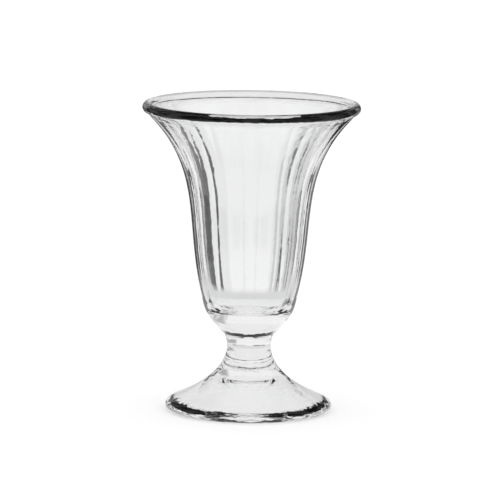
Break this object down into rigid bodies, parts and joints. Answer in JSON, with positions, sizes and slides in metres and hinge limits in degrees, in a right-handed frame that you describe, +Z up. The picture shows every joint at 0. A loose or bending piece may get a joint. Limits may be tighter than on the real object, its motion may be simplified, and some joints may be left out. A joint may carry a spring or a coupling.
{
  "type": "parfait glass",
  "caption": "Clear pressed glass dessert glass: flared bowl with flat vertical flutes, rounded rim, short waisted stem and hollow conical foot.",
  "frame": {"origin": "centre of the ring that the foot stands on, at table level", "axes": "+Z up along the glass's axis of turning, +X and +Y level, each square to the flat of a flute"},
  "size_m": [0.1026, 0.1026, 0.146],
  "materials": {
    "rim_glass": "clear soda-lime glass, fire-polished round bead",
    "bowl_glass": "clear pressed soda-lime glass, polished, smooth inside with flat flutes outside",
    "stem_glass": "clear pressed soda-lime glass, polished",
    "foot_glass": "clear pressed soda-lime glass, polished, with slight mould waviness at the heel"
  },
  "bodies": {
    "root": {"rim": "rim_glass", "bowl": "bowl_glass", "stem": "stem_glass", "foot": "foot_glass"}
  },
  "joints": []
}
